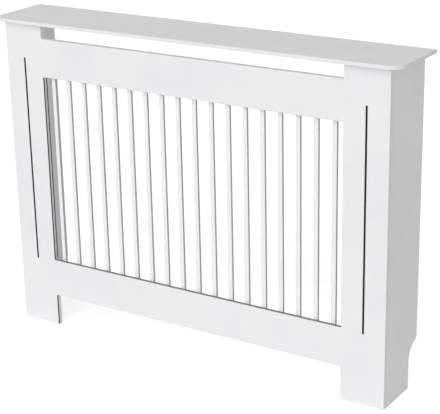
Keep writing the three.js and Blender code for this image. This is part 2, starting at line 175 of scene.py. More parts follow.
class StudioSettings(bpy.types.PropertyGroup):
    """The camera's place and the light."""

    camera_place: FloatVectorProperty(
        name="Camera place",
        description="Where the camera stands",
        default=(1.7552, -2.6435, 1.5065),
        unit="LENGTH",
        subtype="XYZ",
    )
    camera_yaw: FloatProperty(
        name="Camera yaw",
        description="Turn to the left from looking along +Y",
        default=0.5739,
        unit="ROTATION",
        subtype="ANGLE",
    )
    camera_pitch: FloatProperty(
        name="Camera pitch",
        description="Tilt above the horizon",
        default=-0.3414,
        unit="ROTATION",
        subtype="ANGLE",
    )
    camera_roll: FloatProperty(
        name="Camera roll",
        description="Turn about the line of sight",
        default=-0.0206,
        unit="ROTATION",
        subtype="ANGLE",
    )
    focal_length: FloatProperty(
        name="Focal length",
        description="Focal length on a sensor 36 mm wide",
        default=112.52,
        unit="CAMERA",
    )
    sky: FloatProperty(
        name="Sky",
        description="Strength of the light from all round",
        default=0.37,
    )
    key: FloatProperty(
        name="Key",
        description="Strength of the large soft lamp in front",
        default=1.97,
    )
    key_angle: FloatProperty(
        name="Key angle",
        description="How wide the lamp in front looks from the object",
        default=math.radians(80),
        unit="ROTATION",
        subtype="ANGLE",
    )
    key_from: FloatVectorProperty(
        name="Key from",
        description="Direction that the lamp in front shines from",
        default=(0.02, -0.924, 0.382),
        subtype="DIRECTION",
    )
    fill: FloatProperty(
        name="Fill",
        description="Strength of the soft lamp behind, which keeps the back from going dull",
        default=0.8,
    )
    fill_angle: FloatProperty(
        name="Fill angle",
        description="How wide the lamp behind looks from the object",
        default=math.radians(20),
        unit="ROTATION",
        subtype="ANGLE",
    )
    fill_from: FloatVectorProperty(
        name="Fill from",
        description="Direction that the lamp behind shines from",
        default=(-0.66, 0.75, 0.0),
        subtype="DIRECTION",
    )
    floor_size: length("Floor size", 40000, "Side of the square floor")
    floor_glow: FloatProperty(
        name="Floor glow",
        description="What the camera sees added to the floor, so that it is white",
        default=0.55,
    )


GROUPS = {
    "cover_boards": BoardSizes,
    "cover_fittings": FittingSizes,
    "cover_finish": FinishColours,
    "cover_studio": StudioSettings,
}


# ---------------------------------------------------------------- surfaces

ARRIS_STEPS = 4
CORNER_STEPS = 4
LARGE_ARC_STEPS = 20
# How far past an arc its support point lies, the radius of an edge that looks sharp, and the radius
# of a corner that looks square but has room for both.
SUPPORT = 0.3 * MM
SHARP = 0.02 * MM
SQUARE = SHARP + SUPPORT + 0.05 * MM

# How much painted shade darkens each surface, from 0 to 1: on the rails' edges in the grille, on
# their other edges, and on the slats' sides and arrises.
GRILLE_EDGE_PAINTED_SHADE = 0.75
PLAIN_EDGE_PAINTED_SHADE = 0.05
SLAT_SIDE_PAINTED_SHADE = 0.35
SLAT_ARRIS_PAINTED_SHADE = 0.8


class Outline:
    """A closed outline, anticlockwise, with rounded corners.

    A corner is (across, up, radius, steps). Its arc touches the straights on both sides at radius
    times the tangent of half the turn from the corner. A support point lies on each straight just
    past the arc, so that smooth shading stays flat along the straight. A corner of radius 0 is a
    plain point on a straight. For each point the outline keeps the outward normal.
    """

    def __init__(self, corners):
        places = np.array([corner[:2] for corner in corners], float)
        before = places - np.roll(places, 1, axis=0)
        spans = np.linalg.norm(before, axis=1)
        before /= spans[:, None]
        after = np.roll(before, -1, axis=0)
        crossed = before[:, 0] * after[:, 1] - before[:, 1] * after[:, 0]
        turns = np.arctan2(crossed, (before * after).sum(axis=1))
        radii = np.array([corner[2] for corner in corners], float)
        reach = radii * np.tan(np.abs(turns) / 2)
        free = spans - reach - np.roll(reach, 1)
        rows = [
            self.corner(
                places[i],
                before[i],
                after[i],
                turns[i],
                radii[i],
                reach[i],
                corners[i][3],
                free[i] > 2 * SUPPORT,
                free[(i + 1) % len(corners)] > 2 * SUPPORT,
            )
            for i in range(len(corners))
        ]
        table = np.vstack(rows)
        steps = np.linalg.norm(table[:, :2] - np.roll(table[:, :2], 1, axis=0), axis=1)
        table = table[steps > SHARP / 100]
        self.points, self.normals = table[:, :2], table[:, 2:]

    @staticmethod
    def corner(place, before, after, turn, radius, reach, steps, room, room_after):
        """One corner's rows of point and normal."""
        outward = np.array([before[1], -before[0]])
        if radius == 0:
            return np.array([[*place, *outward]])
        angle = np.linspace(0, turn, steps + 1)
        normal = np.stack(
            [
                np.cos(angle) * outward[0] - np.sin(angle) * outward[1],
                np.sin(angle) * outward[0] + np.cos(angle) * outward[1],
            ],
            axis=1,
        )
        bulge = math.copysign(radius, turn)
        centre = place - before * reach - bulge * outward
        arc = centre + bulge * normal
        if room:
            arc = np.vstack([arc[0] - before * SUPPORT, arc])
            normal = np.vstack([normal[0], normal])
        if room_after:
            arc = np.vstack([arc, arc[-1] + after * SUPPORT])
            normal = np.vstack([normal, normal[-1]])
        return np.column_stack([arc, normal])


def fading(ease, distance, reach):
    """An arris that fades to nothing towards a joint: ease times the distance from it over the
    reach, and no more than ease."""
    return SHARP + (ease - SHARP) * np.clip(distance / reach, 0, 1)


def thickened(outline, low, high, ease_low, ease_high, fade=None):
    """The rings of a board: the outline carried from its low face to its high one.

    Each arris is a quarter round. At an angle a from the face, a ring lies in from the outline by
    ease times (1 - sin a) and in from the face by ease times (1 - cos a). A support ring lies on
    the face and another on the edge, just past the arris. Where fade is given, two more lie on the
    edge at 0.8 of it and all of it from there. Returns rings of (across, up, through) points, how
    far each ring faces sideways, and how much painted shade it takes: as much as it faces
    sideways, but none on the rings at fade.
    """
    angle = np.linspace(0, np.pi / 2, ARRIS_STEPS + 1)
    past = [SUPPORT] if fade is None else [SUPPORT, 0.8 * fade, fade]
    sideways = np.concatenate([[0], np.sin(angle), np.ones(len(past))])
    # thin is each ring's share of painted shade, none on the rings at fade.
    thin = sideways.copy()
    if fade is not None:
        thin[-1] = 0
    inward = np.concatenate([[1], 1 - np.sin(angle), np.zeros(len(past))])[:, None]
    rise = np.concatenate([[0], 1 - np.cos(angle), np.ones(len(past))])[:, None]
    on_face, on_edge = np.zeros_like(inward), np.zeros_like(inward)
    on_face[0], on_edge[-len(past) :, 0] = SUPPORT, past
    insets = np.vstack(
        [inward * ease_low + on_face, (inward * ease_high + on_face)[::-1]]
    )
    heights = np.vstack(
        [low + rise * ease_low + on_edge, (high - rise * ease_high - on_edge)[::-1]]
    )
    flat = outline.points - insets[..., None] * outline.normals
    sideways = np.append(sideways, sideways[::-1])[:, None]
    thin = np.append(thin, thin[::-1])[:, None]
    return np.dstack([flat, np.broadcast_to(heights, flat.shape[:2])]), sideways, thin


def ring_faces(rings, start=0):
    """The quads between successive closed rings, whose points are numbered from start."""
    count, size = rings.shape[:2]
    numbers = start + np.arange(count * size).reshape(count, size)
    following = np.roll(numbers, -1, axis=1)
    quads = np.stack([numbers[:-1], following[:-1], following[1:], numbers[1:]], axis=-1)
    return quads.reshape(-1, 4).tolist()


class Shell:
    """A mesh as it is put together: points, smooth faces, flat faces and point attributes."""

    def __init__(self):
        self.points = np.empty((0, 3))
        self.edge = np.empty(0)
        # How much painted shade each point takes, from 0 to 1.
        self.painted_shade = np.empty(0)
        self.smooth, self.flat = [], []

    def add_rings(self, rings, edge, painted_shade=0.0):
        """Adds rings and the quads between them, and returns each ring's point numbers."""
        start = len(self.points)
        self.smooth += ring_faces(rings, start)
        self.points = np.vstack([self.points, rings.reshape(-1, 3)])
        size = rings.shape[0] * rings.shape[1]
        self.edge = np.append(self.edge, np.broadcast_to(edge, rings.shape[:2]))
        self.painted_shade = np.append(self.painted_shade, np.broadcast_to(painted_shade, rings.shape[:2]))
        return (start + np.arange(size)).reshape(rings.shape[:2])

    def add_flat(self, numbers):
        """Adds one flat face through points that are there already."""
        self.flat.append([int(n) for n in numbers])

    def add_holed(self, loop, hole, first, second, step=1):
        """Adds two flat faces that fill a loop round a hole. Both run anticlockwise, and a step of
        -1 turns the faces over. Two lines part the faces: first and second each give one end's
        place in the loop and the other's in the hole."""
        loop, hole = np.roll(loop, -first[0]), np.roll(hole, -first[1])
        far, across = (second[0] - first[0]) % len(loop), (second[1] - first[1]) % len(hole)
        self.add_flat([*loop[: far + 1], *hole[: across + 1][::-1]][::step])
        self.add_flat([*loop[far:], loop[0], hole[0], *hole[across:][::-1]][::step])

    def placed(self, directions, origin=(0, 0, 0)):
        """The shell with its own three axes laid along the rows of directions. Where they turn it
        inside out, its faces are turned over."""
        if np.linalg.det(directions) < 0:
            self.smooth = [face[::-1] for face in self.smooth]
            self.flat = [face[::-1] for face in self.flat]
        self.points = self.points @ np.asarray(directions, float) + np.array(origin)
        return self

    def join(self, other):
        """Adds another shell to this one."""
        start = len(self.points)
        self.points = np.vstack([self.points, other.points])
        self.edge = np.append(self.edge, other.edge)
        self.painted_shade = np.append(self.painted_shade, other.painted_shade)
        self.smooth += [[start + n for n in face] for face in other.smooth]
        self.flat += [[start + n for n in face] for face in other.flat]


def nearest(points, place):
    """The number of the point nearest to a place."""
    return int(np.argmin(np.linalg.norm(np.asarray(points) - np.array(place), axis=-1)))


def capped(rings, edge=0.0, painted_shade=0.0):
    """A shell of rings with both ends closed."""
    shell = Shell()
    numbers = shell.add_rings(rings, edge, painted_shade)
    shell.add_flat(numbers[0][::-1])
    shell.add_flat(numbers[-1])
    return shell


def solid_board(outline, low, high, ease):
    """A board with the same arrises round both faces, and both faces closed."""
    rings, sideways, _ = thickened(outline, low, high, ease, ease)
    return capped(rings, sideways)


def make_piece(name, shell, material, nodes):
    """Makes a shell into a mesh object that stands for its CAD nodes."""
    mesh = bpy.data.meshes.new(name)
    mesh.from_pydata(shell.points.tolist(), [], shell.smooth + shell.flat)
    is_smooth = [True] * len(shell.smooth) + [False] * len(shell.flat)
    mesh.polygons.foreach_set("use_smooth", is_smooth)
    # The second attribute holds how much painted shade each point takes.
    for label, values in (("edge", shell.edge), ("painted_shade", shell.painted_shade)):
        layer = mesh.attributes.new(label, "FLOAT", "POINT")
        layer.data.foreach_set("value", values.astype(np.float32))
    mesh.materials.append(material)
    if mesh.validate():
        raise RuntimeError(f"{name} has faces that are not real")
    piece = bpy.data.objects.new(name, mesh)
    bpy.context.scene.collection.objects.link(piece)
    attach(piece, BODY)
    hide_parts(*nodes)
    return piece


# ---------------------------------------------------------------- materials


def add_node(tree, kind, settings=None, inputs=None):
    """Adds a node with its settings. An input is a value, or the socket that feeds it."""
    node = tree.nodes.new(kind)
    for name, value in (settings or {}).items():
        setattr(node, name, value)
    for name, value in (inputs or {}).items():
        if isinstance(value, bpy.types.NodeSocket):
            tree.links.new(value, node.inputs[name])
        else:
            node.inputs[name].default_value = value
    return node


def blank_material(name):
    """A new material, its empty node tree and the Object coordinates in it."""
    material = bpy.data.materials.new(name)
    material.use_nodes = True
    tree = material.node_tree
    tree.nodes.clear()
    place = add_node(tree, "ShaderNodeTexCoord").outputs["Object"]
    return material, tree, place


def noise(tree, place, size, detail=2.0):
    """Noise whose patches are about size across, in metres."""
    inputs = {"Vector": place, "Scale": 1 / size, "Detail": detail}
    return add_node(tree, "ShaderNodeTexNoise", inputs=inputs).outputs["Fac"]


def mixed(tree, factor, first, second):
    """Two colours mixed by a factor."""
    inputs = {MIX_FACTOR: factor, MIX_A: first, MIX_B: second}
    node = add_node(tree, "ShaderNodeMix", {"data_type": "RGBA"}, inputs)
    return node.outputs[MIX_RESULT]


def ranged(tree, value, low, high, first=0.0, last=1.0):
    """A value between first and last, stretched to run from low to high."""
    inputs = {
        "Value": value,
        "From Min": first,
        "From Max": last,
        "To Min": low,
        "To Max": high,
    }
    return add_node(tree, "ShaderNodeMapRange", inputs=inputs).outputs["Result"]


def attribute(tree, name):
    """One of the piece's own point attributes."""
    return add_node(tree, "ShaderNodeAttribute", {"attribute_name": name}).outputs["Fac"]


def finished(tree, shader):
    """Puts a shader on the material's surface."""
    add_node(tree, "ShaderNodeOutputMaterial", inputs={"Surface": shader.outputs[0]})


def satin_lacquer(name, white, shade):
    """Satin white lacquer, sprayed on medium-density fibreboard.

    The spray leaves a fine orange peel that softens reflections. The cut edges drink paint, so they
    are duller and a little furry. Painted shade lies dark in the narrow grooves, along the arrises
    and edges inside the openings and on the slats' sides.
    """
    colours = bpy.context.scene.cover_finish
    material, tree, place = blank_material(name)
    edge, painted_shade = attribute(tree, "edge"), attribute(tree, "painted_shade")
    # Coat thickness drifts over about 150 mm, the width of a spray pass.
    drift = ranged(tree, noise(tree, place, 150 * MM), 0, 1, 0.35, 0.65)
    coat = mixed(tree, drift, white, shade)
    coat = mixed(tree, edge, coat, colours.edge)
    # Painted shade: near-black mixed in by the second point attribute, in the grooves and on edges
    # inside the openings.
    coat = mixed(tree, painted_shade, coat, colours.painted_shade_black)
    # Orange peel is about 1.5 mm across, and fibres raised on a cut edge are about 0.5 mm.
    peel = noise(tree, place, 1.5 * MM, 1.0)
    fibre = noise(tree, place, 0.5 * MM, 3.0)
    inputs = {"Height": peel, "Distance": 0.02 * MM, "Strength": 0.5}
    skin = add_node(tree, "ShaderNodeBump", inputs=inputs).outputs["Normal"]
    strength = ranged(tree, edge, 0, 0.5)
    inputs = {"Height": fibre, "Distance": 0.03 * MM, "Strength": strength, "Normal": skin}
    skin = add_node(tree, "ShaderNodeBump", inputs=inputs).outputs["Normal"]
    # Satin is not even: it varies over 30 mm or so, and cut edges are duller.
    sheen = ranged(tree, noise(tree, place, 30 * MM), 0.40, 0.48, 0.3, 0.7)
    dull = ranged(tree, edge, 0, 0.14)
    inputs = {0: sheen, 1: dull}
    rough = add_node(tree, "ShaderNodeMath", {"operation": "ADD"}, inputs).outputs[0]
    inputs = {"Base Color": coat, "Roughness": rough, "Normal": skin, "IOR": 1.48}
    finished(tree, add_node(tree, "ShaderNodeBsdfPrincipled", inputs=inputs))
    return material


def lacquer_on_boards():
    """The lacquer on the frame, side panels and shelf."""
    colours = bpy.context.scene.cover_finish
    return satin_lacquer("satin_lacquer_on_mdf", colours.paint, colours.paint_shade)


def lacquer_on_slats():
    """The lacquer on the slats: a lighter copy of the boards', painted light that makes them read
    whiter.
    """
    colours = bpy.context.scene.cover_finish
    return satin_lacquer("satin_lacquer_lit_on_slats", colours.slat_paint_lit, colours.slat_shade_lit)


def zinc_plate():
    """Bright zinc plate on pressed steel: cool and fairly shiny, with cloudy duller patches."""
    colours = bpy.context.scene.cover_finish
    material, tree, place = blank_material("zinc_plated_steel")
    cloud = ranged(tree, noise(tree, place, 6 * MM, 4.0), 0, 1, 0.35, 0.65)
    tint = mixed(tree, cloud, colours.zinc, colours.zinc_shade)
    rough = ranged(tree, cloud, 0.26, 0.42)
    # The strip keeps a fine grain from rolling, drawn at 0.4 mm so that it shows.
    inputs = {"Height": noise(tree, place, 0.4 * MM), "Distance": 0.01 * MM, "Strength": 0.4}
    skin = add_node(tree, "ShaderNodeBump", inputs=inputs).outputs["Normal"]
    inputs = {"Base Color": tint, "Metallic": 1.0, "Roughness": rough, "Normal": skin}
    finished(tree, add_node(tree, "ShaderNodeBsdfPrincipled", inputs=inputs))
    return material


def planed_beech():
    """Beech turned to a dowel: pale, close-grained, with short brown flecks along the grain."""
    colours = bpy.context.scene.cover_finish
    material, tree, place = blank_material("turned_beech")
    # Flecks are about 0.4 mm wide and 3 mm long, along X as the dowels lie.
    stretch = {"Vector": place, "Scale": (0.13, 1.0, 1.0)}
    along = add_node(tree, "ShaderNodeMapping", inputs=stretch).outputs["Vector"]
    fleck = ranged(tree, noise(tree, along, 0.4 * MM, 3.0), 0, 1, 0.5, 0.72)
    tint = mixed(tree, fleck, colours.beech, colours.beech_fleck)
    inputs = {"Height": fleck, "Distance": 0.03 * MM, "Strength": 0.3}
    skin = add_node(tree, "ShaderNodeBump", inputs=inputs).outputs["Normal"]
    rough = ranged(tree, fleck, 0.62, 0.75)
    inputs = {"Base Color": tint, "Roughness": rough, "Normal": skin}
    finished(tree, add_node(tree, "ShaderNodeBsdfPrincipled", inputs=inputs))
    return material


MAKERS = {
    "satin_lacquer_on_mdf": lacquer_on_boards,
    "satin_lacquer_lit_on_slats": lacquer_on_slats,
    "zinc_plated_steel": zinc_plate,
    "turned_beech": planed_beech,
}


def material_named(name):
    """The material of that name, made the first time that it is asked for."""
    return bpy.data.materials.get(name) or MAKERS[name]()


# ---------------------------------------------------------------- boards


def make_board(name, shell, directions, node, lacquer="satin_lacquer_on_mdf"):
    """Makes a painted board that stands for its CAD node."""
    paint = material_named(lacquer)
    return make_piece(name, shell.placed(directions), paint, [node])


class MakeShelf(bpy.types.Operator):
    """Makes the shelf, a thin board with round front corners and eased edges"""

    bl_idname = "radiator_cover.make_shelf"
    bl_label = "Shelf"

    def execute(self, context):
        # The shelf is an oblong with rounded corners, thickened upwards.
        sizes = context.scene.cover_boards
        low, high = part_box("top_shelf")
        big, small = sizes.shelf_corner, 2 * sizes.shelf_arris
        outline = Outline(
            [
                (low.x, low.y, big, LARGE_ARC_STEPS),
                (high.x, low.y, big, LARGE_ARC_STEPS),
                (high.x, high.y, small, CORNER_STEPS),
                (low.x, high.y, small, CORNER_STEPS),
            ]
        )
        shell = solid_board(outline, low.z, high.z, sizes.shelf_arris)
        make_board("shelf_board", shell, LYING, "top_shelf")
        return {"FINISHED"}


class MakeSidePanels(bpy.types.Operator):
    """Makes the side panels, with the ogee that clears the skirting board"""

    bl_idname = "radiator_cover.make_side_panels"
    bl_label = "Side panels"

    def execute(self, context):
        for side in SIDES:
            self.panel(context.scene.cover_boards, side)
        return {"FINISHED"}

    @staticmethod
    def panel(sizes, side):
        """One panel. The hollow and the round of the ogee are arcs with a common tangent, which
        stands square to the line between their centres, so both are the rounded corners where
        that tangent crosses the upright below it and the back edge above it."""
        low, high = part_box(f"{side}_side_panel")
        cut = high.y - sizes.skirting_depth
        across = high.y - sizes.round - (cut + sizes.cove)
        reach = sizes.cove + sizes.round
        rise = math.sqrt(reach**2 - across**2)
        hollow = np.array([cut + sizes.cove, sizes.skirting_height - rise])
        towards = np.array([across, rise]) / reach
        touch = hollow + sizes.cove * towards
        slope = -towards[0] / towards[1]
        foot = touch[1] + slope * (cut - touch[0])
        head = touch[1] + slope * (high.y - touch[0])
        corner = sizes.arris + SUPPORT + SHARP
        outline = Outline(
            [
                (low.y, low.z, SQUARE, 1),
                (cut, low.z, corner, CORNER_STEPS),
                (cut, foot, sizes.cove, LARGE_ARC_STEPS),
                (high.y, head, sizes.round, LARGE_ARC_STEPS),
                (high.y, high.z, SQUARE, 1),
                (low.y, high.z, SQUARE, 1),
            ]
        )
        from_joint = np.minimum(outline.points[:, 0] - low.y, high.z - outline.points[:, 1])
        ease = fading(sizes.arris, from_joint, corner)
        shell = solid_board(outline, low.x, high.x, ease)
        make_board(f"{side}_side_board", shell, SIDEWAYS, f"{side}_side_panel")


class MakeStiles(bpy.types.Operator):
    """Makes the stiles, with the groove routed down the middle of each face"""

    bl_idname = "radiator_cover.make_stiles"
    bl_label = "Stiles"

    def execute(self, context):
        for side, sign in SIDES.items():
            self.stile(context.scene.cover_boards, side, sign)
        return {"FINISHED"}

    def stile(self, sizes, side, sign):
        """One stile. Its arrises fade out where the shelf, a rail or the side panel meets it: such
        a joint is filled and painted over, and no line shows. Inside the openings its inner edge
        carries painted shade near both arrises, but only near the front one at the foot."""
        low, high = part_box(f"{side}_stile")
        inner, outer = (low.x, high.x) if sign > 0 else (high.x, low.x)
        middle, corner = (low.x + high.x) / 2, sizes.arris + SUPPORT + SHARP
        rails = [[end.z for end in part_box(f"{rail}_rail")] for rail in ("bottom", "top")]
        marks = [(foot - 2 * corner, foot, head, head + 2 * corner) for foot, head in rails]
        corners = [
            (inner, low.z, corner, CORNER_STEPS),
            (middle, low.z, 0, 1),
            (outer, low.z, corner, CORNER_STEPS),
            (outer, high.z, SQUARE, 1),
            (middle, high.z, 0, 1),
            (inner, high.z, SQUARE, 1),
            *[(inner, height, 0, 1) for height in sorted(np.ravel(marks), reverse=True)],
        ]
        outline = Outline(corners if sign > 0 else corners[::-1])
        across, up = outline.points.T
        from_rails = [
            np.hypot(across - inner, np.maximum.reduce([foot - up, up - head, 0 * up]))
            for foot, head in rails
        ]
        from_joint = np.minimum.reduce([high.z - up, *from_rails])
        in_opening = (np.abs(across - inner) < SHARP) & (up < rails[1][0])
        from_panel = np.minimum(from_joint, np.abs(across - outer))
        rings, sideways, thin = thickened(
            outline,
            -high.y,
            -low.y,
            fading(sizes.arris, from_panel, corner),
            fading(sizes.arris, from_joint, corner),
            sizes.painted_shade_reach,
        )
        # Painted shade lies along the inner edge inside the openings and fades out at the joints;
        # at the foot, below the bottom rail, none lies near the back arris.
        inside = in_opening * np.clip(from_joint / corner, 0, 1)
        at_back = np.arange(len(rings))[:, None] < len(rings) / 2
        free_of_painted_shade = at_back & (up < rails[0][0])
        shell = Shell()
        numbers = shell.add_rings(rings, sideways, np.where(free_of_painted_shade, 0, thin * inside))
        shell.add_flat(numbers[0][::-1])
        self.groove(shell, numbers[-1], outline, sizes, middle, high.z, -low.y)
        make_board(f"{side}_stile_board", shell, FACING, f"{side}_stile")

    @staticmethod
    def groove(shell, mouth, outline, sizes, middle, top, face):
        """A channel carried round a line with two half-round ends. From the face in, its wall
        lies off the line by the half width plus the lip's quarter round, then plumb down, then
        in along the quarter round that the cutter leaves at the root."""
        radius = sizes.groove_width / 2
        foot = sizes.groove_foot + radius
        head = top - sizes.groove_head - radius
        half = np.linspace(0, np.pi, LARGE_ARC_STEPS + 1)
        angle = np.concatenate([half - np.pi, half])
        centre = np.where(np.arange(len(angle)) < len(half), foot, head)
        way = np.stack([np.cos(angle), np.sin(angle)], axis=1)
        line = np.stack([np.full(len(angle), middle), centre], axis=1)
        bend = np.linspace(0, np.pi / 2, ARRIS_STEPS + 1)
        lip, root = sizes.groove_lip, sizes.groove_root
        offsets = np.concatenate(
            [[lip + SUPPORT], lip * (1 - np.sin(bend)), [0, 0], -root * (1 - np.cos(bend))]
        )
        depth = sizes.groove_depth
        depths = np.concatenate(
            [
                [0],
                lip * (1 - np.cos(bend)),
                [lip + SUPPORT, depth - root - SUPPORT],
                depth - root * (1 - np.sin(bend)),
            ]
        )
        flat = line + (radius + offsets)[:, None, None] * way
        through = np.broadcast_to((face - depths)[:, None], flat.shape[:2])
        rings = np.dstack([flat, through])
        # Painted shade fills the groove: none at the face, full from twice the lip's radius in.
        inside = np.clip(depths / (2 * lip), 0, 1)[:, None]
        numbers = shell.add_rings(rings, 0.0, inside)
        shell.add_flat(numbers[-1])
        at_foot, at_head = (middle, foot - 2 * radius), (middle, head + 2 * radius)
        ends = [nearest(rings[0, :, :2], place) for place in (at_foot, at_head)]
        below, above = (nearest(outline.points, (middle, height)) for height in (0, top))
        shell.add_holed(mouth, numbers[0], (below, ends[0]), (above, ends[1]))


class MakeRails(bpy.types.Operator):
    """Makes the rails, rebated at the back where the slats lap behind them"""

    bl_idname = "radiator_cover.make_rails"
    bl_label = "Rails"

    def execute(self, context):
        # A rail is an oblong section less its rebate, carried along from stile to stile.
        sizes = context.scene.cover_boards
        slat_low, slat_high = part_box("slat_01")
        for rail, upward in (("top", 1), ("bottom", -1)):
            low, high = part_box(f"{rail}_rail")
            plain, grille = (high.z, low.z) if upward > 0 else (low.z, high.z)
            lap = slat_high.z if upward > 0 else slat_low.z
            shoulder = lap + upward * sizes.lap_clearance
            eased, fine = sizes.arris, sizes.arris / 2
            corners = [
                (low.y, grille, eased, CORNER_STEPS),
                (slat_low.y, grille, fine, CORNER_STEPS),
                (slat_low.y, shoulder, SQUARE, 1),
                (high.y, shoulder, fine, CORNER_STEPS),
                (high.y, plain, eased, CORNER_STEPS),
                (low.y, plain, eased, CORNER_STEPS),
            ]
            outline = Outline(corners if upward > 0 else corners[::-1])
            rings, _, _ = thickened(outline, low.x, high.x, SHARP, SHARP)
            # Painted shade on the rails' upper and lower edges: heavy on the edge that faces the
            # grille, faint on the others.
            level = np.abs(outline.normals[:, 1])
            in_grille = np.isclose(outline.points[:, 1], grille, atol=2 * eased)
            painted_shade = np.where(in_grille, GRILLE_EDGE_PAINTED_SHADE, PLAIN_EDGE_PAINTED_SHADE) * level
            shell = capped(rings, level, painted_shade)
            make_board(f"{rail}_rail_board", shell, SIDEWAYS, f"{rail}_rail")
        return {"FINISHED"}


class MakeSlats(bpy.types.Operator):
    """Makes the slats, upright sticks with rounded front edges"""

    bl_idname = "radiator_cover.make_slats"
    bl_label = "Slats"

    def execute(self, context):
        # A slat is an oblong section with rounded corners, carried upwards.
        sizes = context.scene.cover_boards
        front, back = sizes.slat_arris, sizes.slat_back_arris
        for node in [name for name in NODES if name.startswith("slat_")]:
            low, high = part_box(node)
            outline = Outline(
                [
                    (low.x, low.y, front, CORNER_STEPS),
                    (high.x, low.y, front, CORNER_STEPS),
                    (high.x, high.y, back, CORNER_STEPS),
                    (low.x, high.y, back, CORNER_STEPS),
                ]
            )
            rings, _, _ = thickened(outline, low.z, high.z, SHARP, SHARP)
            side = np.abs(outline.normals[:, 0])
            # On an arris, where both parts of the normal are more than nought, their product times
            # two runs from 0 to 1 and back.
            arris = 2 * side * np.abs(outline.normals[:, 1])
            # Painted shade on the slats' sides, heaviest on their arrises.
            painted_shade = SLAT_SIDE_PAINTED_SHADE * side * (1 - arris) + SLAT_ARRIS_PAINTED_SHADE * arris
            shell = capped(rings, side, painted_shade)
            name = node.replace("slat", "slat_stick")
            make_board(name, shell, LYING, node, "satin_lacquer_lit_on_slats")
        return {"FINISHED"}


# ---------------------------------------------------------------- fittings


BEND_STEPS = 6
HOLE_STEPS = 32
FLUTES = 12
FLUTE_STEPS = 8
THREAD_STEPS = 6
# The least that a screw's point narrows to, as a share of its thread.
TIP = 0.03
# Rings in the cross recess, as shares of the cross and of its depth.
RECESS_RINGS = np.array([[0.3, 1], [0.8, 0.8]])
# Rings over a screw's head, as shares of the way from the cross to the rim.
DOME_RINGS = np.array([0, 0.25, 0.5, 0.75, 0.92, 1])
INWARD_LEG = {"left": np.array([1, 0, 0]), "right": np.array([-1, 0, 0])}
SECOND_LEG = {
    "front_bracket": np.array([0, 1, 0]),
    "shelf_bracket": np.array([0, 0, -1]),
    "wall_bracket": np.array([0, -1, 0]),
}


def corner_of(node, *legs):
    """The corner of a node's box that its legs leave from. Along an axis that no leg follows, it
    lies in the middle of the box."""
    low, high = (np.array(corner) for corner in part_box(node))
    towards = np.sum(legs, axis=0)
    return np.where(towards > 0, low, np.where(towards < 0, high, (low + high) / 2))


class Hole:
    """A round hole's outline, anticlockwise. Its normals point to its middle, out of the steel."""

    def __init__(self, centre, radius):
        turn = np.linspace(0, 2 * np.pi, HOLE_STEPS, endpoint=False)
        way = np.stack([np.cos(turn), np.sin(turn)], axis=1)
        self.points, self.normals = np.array(centre) + radius * way, -way

    def bore(self, shell, low, high, ease):
        """Cuts its wall and arrises into a shell, and returns the rings' point numbers from the low
        face to the high one."""
        rings, sideways, _ = thickened(self, low, high, ease, ease)
        return shell.add_rings(rings[::-1], sideways[::-1])[::-1]


def bent(shell, flat, arc, radius):
    """Bends a strip into an angle, and gives its points as (first leg, second leg, width).

    Along the strip, the first leg lies flat for flat, then the steel turns through a right angle
    over arc, and then the second leg lies flat. In the bend, a point at depth d in the steel is
    radius less d from the bend's centre, which is radius away from both boards.
    """
    along, across, depth = shell.points.T
    turn = np.clip((along - flat) / arc, 0, 1) * np.pi / 2
    reach = radius - depth
    first = radius + np.clip(flat - along, 0, None) - reach * np.sin(turn)
    second = radius + np.clip(along - flat - arc, 0, None) - reach * np.cos(turn)
    shell.points = np.stack([first, second, across], axis=1)
    return shell


def bracket_shell(sizes, leg, width):
    """An angle bracket: a strip with round ends and a hole near each, bent in the middle."""
    flat, half = leg - sizes.bend, width / 2
    arc = (sizes.bend - sizes.steel / 2) * np.pi / 2
    whole = 2 * flat + arc
    marks = flat + arc * np.linspace(0, 1, BEND_STEPS + 1)
    outline = Outline(
        [
            (0, -half, half, LARGE_ARC_STEPS),
            *[(mark, -half, 0, 1) for mark in marks],
            (whole, -half, half, LARGE_ARC_STEPS),
            (whole, half, half, LARGE_ARC_STEPS),
            *[(mark, half, 0, 1) for mark in marks[::-1]],
            (0, half, half, LARGE_ARC_STEPS),
        ]
    )
    ease = sizes.steel_arris
    rings, sideways, _ = thickened(outline, 0, sizes.steel, ease, ease)
    shell = Shell()
    numbers = shell.add_rings(rings, sideways)
    from_end = leg - sizes.bracket_hole
    holes = [Hole((place, 0), sizes.hole / 2) for place in (from_end, whole - from_end)]
    bores = [hole.bore(shell, 0, sizes.steel, ease) for hole in holes]
    lower = [nearest(outline.points, (mark, -half)) for mark in marks]
    upper = [nearest(outline.points, (mark, half)) for mark in marks]
    legs = [(upper[0], lower[0], (0, 0)), (lower[-1], upper[-1], (whole, 0))]
    for ring, step in ((0, -1), (-1, 1)):
        loop = numbers[ring]
        for (start, stop, tip), hole, bore in zip(legs, holes, bores):
            span = np.arange((stop - start) % len(loop) + 1)
            places = (start + span) % len(loop)
            corner, end = outline.points[start], nearest(outline.points[places], tip)
            first = (0, nearest(hole.points, corner))
            second = (end, nearest(hole.points, tip))
            shell.add_holed(loop[places], bore[ring], first, second, step)
        pairs = zip(lower, lower[1:], upper[1:], upper)
        shell.smooth += [[int(n) for n in loop[list(pair)]][::step] for pair in pairs]
    return bent(shell, flat, arc, sizes.bend)


